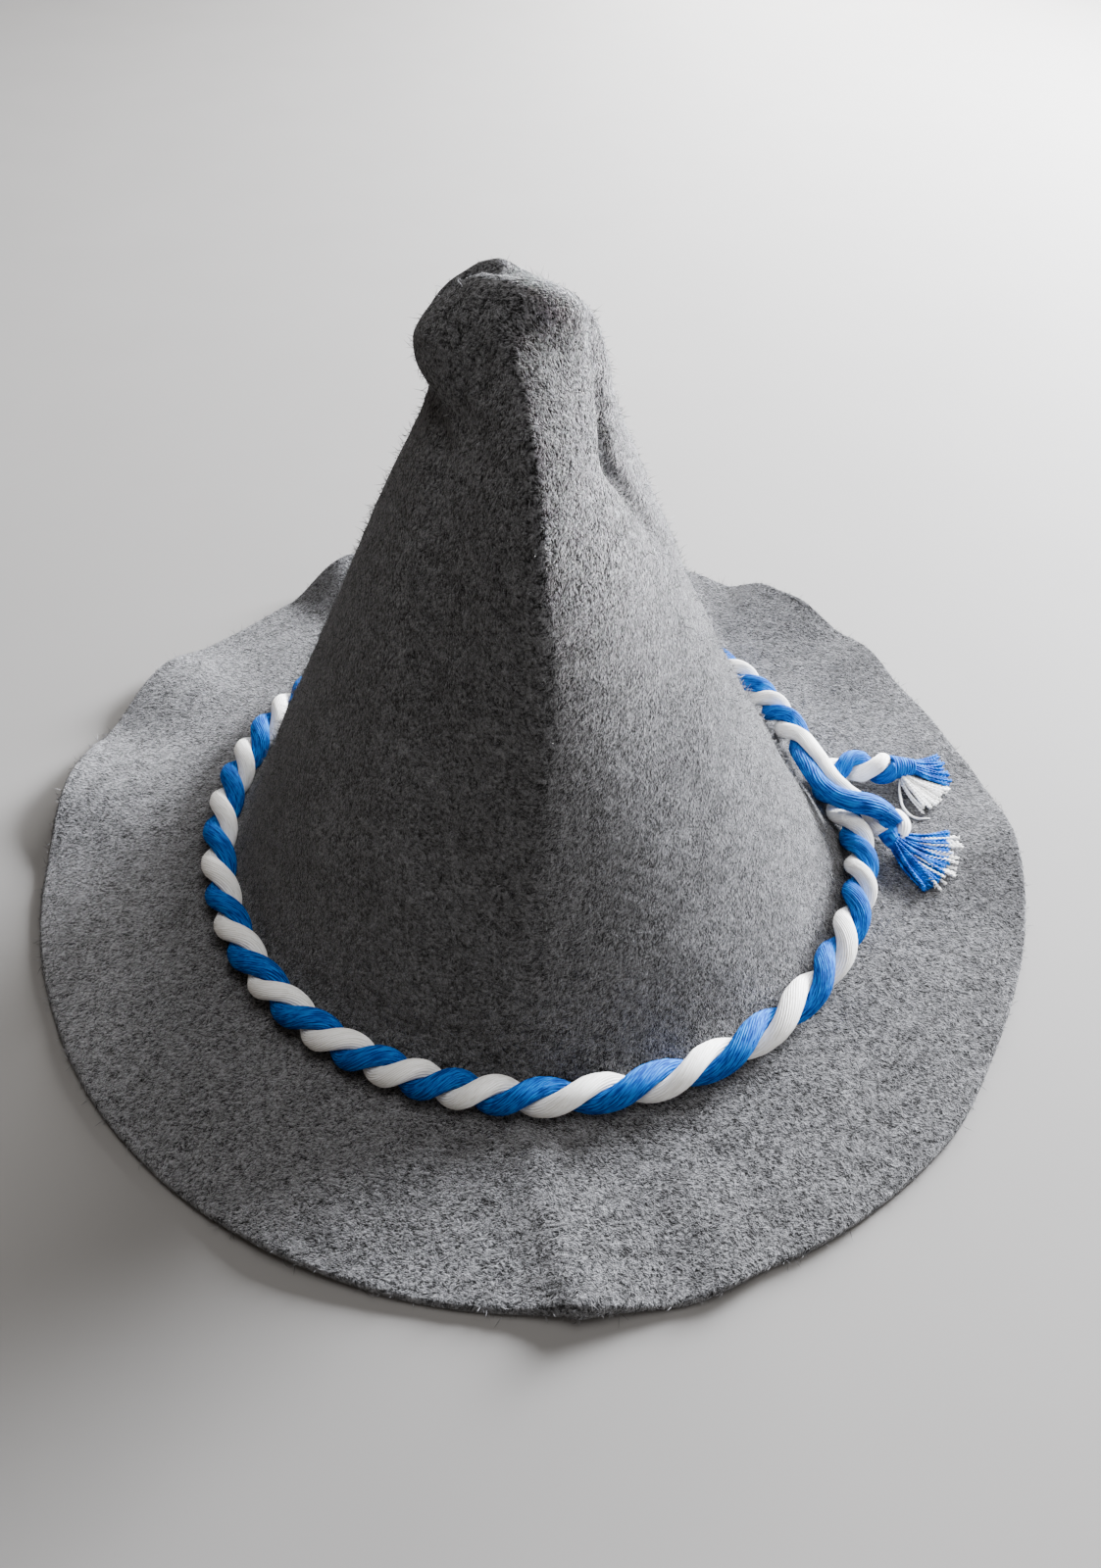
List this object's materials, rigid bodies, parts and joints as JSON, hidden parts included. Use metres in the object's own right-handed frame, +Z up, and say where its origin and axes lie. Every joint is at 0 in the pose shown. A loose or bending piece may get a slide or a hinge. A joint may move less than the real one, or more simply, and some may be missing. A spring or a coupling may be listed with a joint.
{
  "type": "pointed felt hat with a twisted cord band",
  "caption": "Pointed hat of heather grey felt with a pinched tip and a waved brim, banded by a twisted blue and white cord tied with short tasselled ends.",
  "frame": {"origin": "centre of the brim on the surface that the hat rests on", "axes": "+Z up through the crown, -Y towards the creased front, +X towards the tied ends of the cord"},
  "size_m": [0.305, 0.305, 0.1804],
  "materials": {
    "grey_felt": "fuzzy heather grey wool felt",
    "blue_yarn": "soft plied yarn, bright blue",
    "white_yarn": "soft plied yarn, white"
  },
  "bodies": {
    "root": {"felt_body": "grey_felt", "band_blue_strand": "blue_yarn", "band_white_strand": "white_yarn", "upper_tassel_blue": "blue_yarn", "upper_tassel_white": "white_yarn", "lower_tassel_blue": "blue_yarn", "lower_tassel_white": "white_yarn"}
  },
  "joints": []
}
